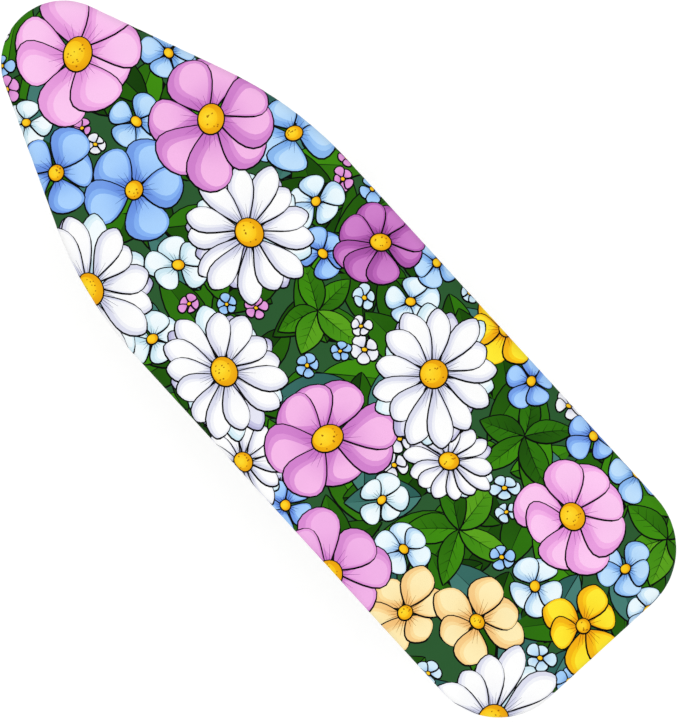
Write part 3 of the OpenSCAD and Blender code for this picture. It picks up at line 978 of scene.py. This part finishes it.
def skin(rings, closed, start=0):
    """Vertices and faces over equal rings of points, with flat ends unless it is closed on itself."""
    count, sides = rings.shape[:2]
    faces = []
    for i in range(count if closed else count - 1):
        a = start + i * sides
        b = start + (i + 1) % count * sides
        for k in range(sides):
            m = (k + 1) % sides
            faces.append((a + k, a + m, b + m, b + k))
    if not closed:
        faces.append(tuple(start + k for k in range(sides - 1, -1, -1)))
        faces.append(tuple(start + (count - 1) * sides + k for k in range(sides)))
    return rings.reshape(-1, 3), faces


def tube(name, path, radius, material, body, sides=8, closed=True):
    """A round cord along a path, closed on itself or with flat ends. Path and radius are in metres."""
    path = np.asarray(path, dtype=float)
    forward = unit(heading(path) if closed else np.gradient(path, axis=0))
    side = unit(np.cross(forward, np.tile([0.0, 0.0, 1.0], (len(path), 1))))
    up = np.cross(side, forward)
    verts, faces = skin(path[:, None] + circle(sides, side, up) * radius, closed)
    obj = mesh_object(name, verts, faces, [material], body)
    smooth_shade(obj, 60)
    return obj


def make_elastic():
    """The elastic cord that runs in the hem's inner edge and follows its gathers."""
    path = wrap(edge_curve(EDGE_X - WRAP_L - 0.9, 3.0), -0.4)
    low, high = corners("hem_elastic")
    obj = tube("hem_elastic_cord", path, (high.z - low.z) / 2 * 0.8, SLOT_FINISH["elastic"], "board")
    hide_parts("hem_elastic")
    return obj


STITCH_PITCH = 5.2  # from one stitch to the next
STITCH_L = 3.4  # length of the thread that shows
STITCH_IN = 5.0  # from the hem's edge to the row of stitches


def make_stitches():
    """A row of lockstitches along the hem, one short bowed thread each, joined into one piece."""
    line = edge_curve(EDGE_X - WRAP_L + STITCH_IN, STITCH_PITCH)
    verts, faces = [], []
    ahead = unit(np.roll(line, -1, axis=0) - line)
    steps = np.linspace(-0.5, 0.5, 5)
    height = np.array([-0.25, 0.10, 0.22, 0.10, -0.25])
    size = np.array([0.10, 0.28, 0.32, 0.28, 0.10]) * MM
    up = np.array([[0.0, 0.0, 1.0]])
    for point, way in zip(line, ahead):
        places = [(point + way * STITCH_L * t)[None, :] for t in steps]
        spine = np.array([wrap(place, 0.1 + h)[0] for place, h in zip(places, height)])
        across = np.array([[-way[1], way[0], 0.0]])
        rings = spine[:, None] + circle(5, across, up) * size[:, None, None]
        more_verts, more_faces = skin(rings, False, len(verts))
        verts.extend(more_verts)
        faces.extend(more_faces)
    obj = mesh_object("hem_stitches", verts, faces, [thread()], "board")
    fix_normals(obj)
    smooth_shade(obj, 60)
    return obj


def fix_normals(obj):
    work = bmesh.new()
    work.from_mesh(obj.data)
    bmesh.ops.recalc_face_normals(work, faces=work.faces)
    work.to_mesh(obj.data)
    work.free()


# -------- welds, grip and spring

def centre_of(node):
    low, high = corners(node)
    return (low + high) / 2


WELD_R = 0.0018  # radius of a weld bead, in metres
WELD_POINTS = 90  # points round a bead
WELD_RIPPLE = 5  # points in one ripple of it


def saddle(centre, away, around, inner, outer):
    """The closed line where a tube of radius inner, along away, meets one of radius outer, along around."""
    away = away.normalized()
    around = around.normalized()
    other = away.cross(around).normalized()
    points = []
    for a in np.linspace(0, 2 * math.pi, WELD_POINTS, False):
        lift = math.sqrt(max(outer ** 2 - (inner * math.cos(a)) ** 2, 0.0))
        points.append(centre + away * lift + (other * math.cos(a) + around * math.sin(a)) * inner)
    return np.array([tuple(p) for p in points])


def bead(name, path, body):
    """A fillet weld: a rippled ring of metal along a saddle line, under the same paint as the tubes."""
    forward = unit(heading(path))
    out = path - path.mean(axis=0)
    out = unit(out - forward * np.sum(out * forward, axis=1)[:, None])
    up = np.cross(forward, out)
    size = WELD_R * (1 + 0.13 * np.sin(np.arange(len(path)) * 2 * math.pi / WELD_RIPPLE))
    verts, faces = skin(path[:, None] + circle(8, out, up) * size[:, None, None], True)
    obj = mesh_object(name, verts, faces, [SLOT_FINISH["leg_paint"]], body)
    fix_normals(obj)
    smooth_shade(obj, 80)
    return obj


def make_grip():
    """The lever's moulded grip: swollen at its end, rounded all over, with finger grooves beneath."""
    low, high = corners("lever_grip")
    middle = (low + high) / 2
    half = (high - low) / 2
    sides, stations = 32, 44
    angle = np.linspace(0, 2 * math.pi, sides, False)
    round_y, round_z = [np.sign(wave) * np.abs(wave) ** 0.62 for wave in (np.cos(angle), np.sin(angle))]
    rings = []
    for u in -np.cos(np.linspace(0.02, math.pi - 0.02, stations)):
        ends = (1 - abs(u) ** 7) ** 0.5
        waist = 0.84 + 0.16 * u * u
        groove = 0.10 * (0.5 + 0.5 * math.cos(u * 4.5 * math.pi)) * (1 - u * u)
        lift = 1 - np.where(round_z < 0, groove, 0)
        rings.append(np.column_stack([np.full(sides, middle.x + half.x * u),
                                      middle.y + half.y * waist * ends * round_y,
                                      middle.z + half.z * ends * lift * round_z]))
    verts, faces = skin(np.array(rings), False)
    obj = mesh_object("moulded_grip", verts, faces, [SLOT_FINISH["grip_plastic"]], "release_lever")
    fix_normals(obj)
    smooth_shade(obj, 70)
    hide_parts("lever_grip")


WIRE_R = 0.0007  # radius of the spring's wire, in metres
SPRING_TURNS = 8.0


def make_spring():
    """The lever's compression spring: round wire with closed end turns."""
    low, high = corners("lever_spring")
    centre = (low + high) / 2
    coil_r = (high.x - low.x) / 2 - WIRE_R
    turn = np.linspace(0, SPRING_TURNS, int(SPRING_TURNS * 24) + 1)
    angle = 2 * math.pi * turn
    ends = 2 * WIRE_R * (np.clip(turn, 0, 1) + np.clip(turn - SPRING_TURNS + 1, 0, 1))
    climb = np.clip((turn - 1) / (SPRING_TURNS - 2), 0, 1) * (high.z - low.z - 6 * WIRE_R)
    path = np.column_stack([centre.x + coil_r * np.cos(angle), centre.y + coil_r * np.sin(angle),
                            low.z + WIRE_R + ends + climb])
    obj = tube("coil_spring", path, WIRE_R * 0.98, SLOT_FINISH["spring_wire"], "board", 10, False)
    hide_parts("lever_spring")
    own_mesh(obj)


def make_welds(leg, top):
    """Welds at the foot bar and at the brace, on both tubes of one pair of legs."""
    foot = centre_of(leg + "_foot_bar")
    brace = centre_of(leg + "_leg_brace")
    low, high = corners(leg + "_foot_bar")
    bar_r = (high.z - low.z) / 2
    low, high = corners(leg + "_leg_brace")
    brace_r = (high.x - low.x) / 2
    along = Vector((top.x - foot.x, 0, top.z - foot.z)).normalized()
    for side, sign in (("left", -1), ("right", 1)):
        low, high = corners(f"{leg}_leg_{side}")
        y = (low.y + high.y) / 2
        tube_r = (high.y - low.y) / 2
        across = Vector((0, 1, 0))
        line = saddle(Vector((foot.x, y, foot.z)), along, across, tube_r, bar_r)
        bead(f"{leg}_foot_weld_{side}", line, leg + "_leg")
        line = saddle(Vector((brace.x, y, brace.z)), across * -sign, along, brace_r, tube_r)
        bead(f"{leg}_brace_weld_{side}", line, leg + "_leg")


# -------- finish on the CAD model's own pieces

# How wide the broken edge of each finish is, in metres
EDGE_BREAK = {"top_steel": 0.0004, "leg_paint": 0.0005, "zinc_steel": 0.0003, "foot_plastic": 0.0008,
              "bearing_plastic": 0.0005}


def dress_frame():
    """Every CAD piece that stays gets its finish, with its sharp edges broken."""
    for obj in frame["nodes"].values():
        slot = obj.material_slots[0].material.name
        if slot not in SLOT_FINISH:
            continue
        obj.material_slots[0].material = SLOT_FINISH[slot]
        if slot not in EDGE_BREAK:
            continue
        weld = obj.modifiers.new("join", "WELD")
        weld.merge_threshold = 1e-6
        bevel = obj.modifiers.new("edges", "BEVEL")
        bevel.width = EDGE_BREAK[slot]
        bevel.segments = 2
        bevel.limit_method = "ANGLE"
        bevel.angle_limit = math.radians(38)


# -------- camera, light and floor

VIEW_ANGLE = math.radians(47.6)  # the board lies across the picture, nose up and to the left
VIEW_CENTRE = (0.056, 0.003)  # what the camera looks at, on the board
VIEW_HEIGHT = 3.0
VIEW_SPAN = 1.008  # what the picture's long side takes in, at the cover


def make_camera():
    camera = bpy.data.cameras.new("camera")
    camera.lens = camera.sensor_width * VIEW_HEIGHT / VIEW_SPAN
    obj = add_object("camera", camera)
    obj.location = (*VIEW_CENTRE, TOP_Z + VIEW_HEIGHT)
    obj.rotation_euler = (0, 0, VIEW_ANGLE)
    bpy.context.scene.camera = obj


def area_light(name, place, aim, size, power):
    light = bpy.data.lights.new(name, "AREA")
    light.shape = "DISK"
    light.size = size
    light.energy = power
    obj = add_object(name, light)
    obj.location = place
    obj.rotation_euler = (Vector(aim) - Vector(place)).to_track_quat("-Z", "Y").to_euler()


def make_light():
    scene = bpy.context.scene
    scene.view_settings.view_transform = "Standard"
    world = bpy.data.worlds.new("studio")
    world.use_nodes = True
    background = world.node_tree.nodes["Background"].inputs
    background["Color"].default_value = (1, 1, 1, 1)
    background["Strength"].default_value = 0.62
    scene.world = world
    area_light("overhead", (-0.3, 0.3, 5.2), (0, 0, 0.9), 3.4, 88)
    area_light("front", (2.2, -2.9, 2.6), (0, 0, 0.5), 1.6, 22)


def make_floor():
    bpy.ops.mesh.primitive_circle_add(vertices=96, radius=9, fill_type="NGON", location=(0, 0, 0))
    floor = bpy.context.object
    floor.name = "floor"
    finish = Finish("studio_floor", Specular_IOR_Level=0.1, Roughness=0.9, Emission_Color=(1, 1, 1, 1),
                    Emission_Strength=0.20)
    finish.colour(finish.colours(finish.noise(0.8, 2.0), "F7F7F6", "FCFCFC"))
    floor.data.materials.append(finish.material)


make_camera()
make_light()
make_floor()
draw_print()
cover = make_cover()
pad = make_pad()
make_panel()
elastic = make_elastic()
stitches = make_stitches()
make_grip()
make_spring()
make_welds("front", Vector(frame["joints"][0]["pos_m"]))
make_welds("rear", centre_of("slide_bar"))
dress_frame()

cut_area = abs(area_of(edge_curve(-REACH, 4.0))) * MM ** 2
